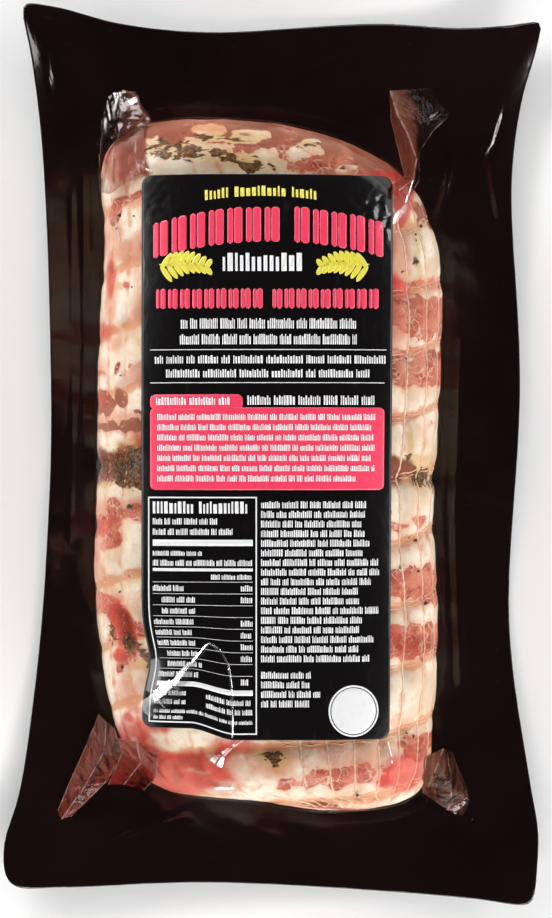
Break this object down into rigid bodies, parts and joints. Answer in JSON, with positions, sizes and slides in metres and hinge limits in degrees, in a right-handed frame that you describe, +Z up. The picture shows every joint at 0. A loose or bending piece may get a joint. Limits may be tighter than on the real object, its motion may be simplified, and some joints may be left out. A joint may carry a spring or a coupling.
{
  "type": "vacuum-packed pork roast",
  "caption": "Netted, bacon-wrapped pork roast sealed under clear film on a black backing film, with a label along its crown and a pinched film fold at each corner.",
  "frame": {"origin": "middle of the pack's outline, on the plane that its backing film rests on", "axes": "+X to the right and +Y towards the label's head, as the label is seen from above; +Z up, out of the label"},
  "size_m": [0.187, 0.3138, 0.0631],
  "materials": {
    "black_film": "glossy black plastic film with a maroon cast, softly wrinkled",
    "sealed_meat": "raw bacon, cream fat and pink lean, under tight clear film",
    "label_print": "glossy black printed film label",
    "bacon": "raw streaky bacon, cream fat with pink and dark red lean",
    "clear_film": "clear glossy plastic film",
    "net": "knitted elastic thread, stained pink",
    "herb_rub": "dark chopped herbs and cracked pepper",
    "print_white": "white print",
    "print_red": "bright red print",
    "print_yellow": "yellow print"
  },
  "bodies": {
    "root": {"backing_film": "black_film", "sealed_roast": "sealed_meat", "label": "label_print"}
  },
  "joints": []
}
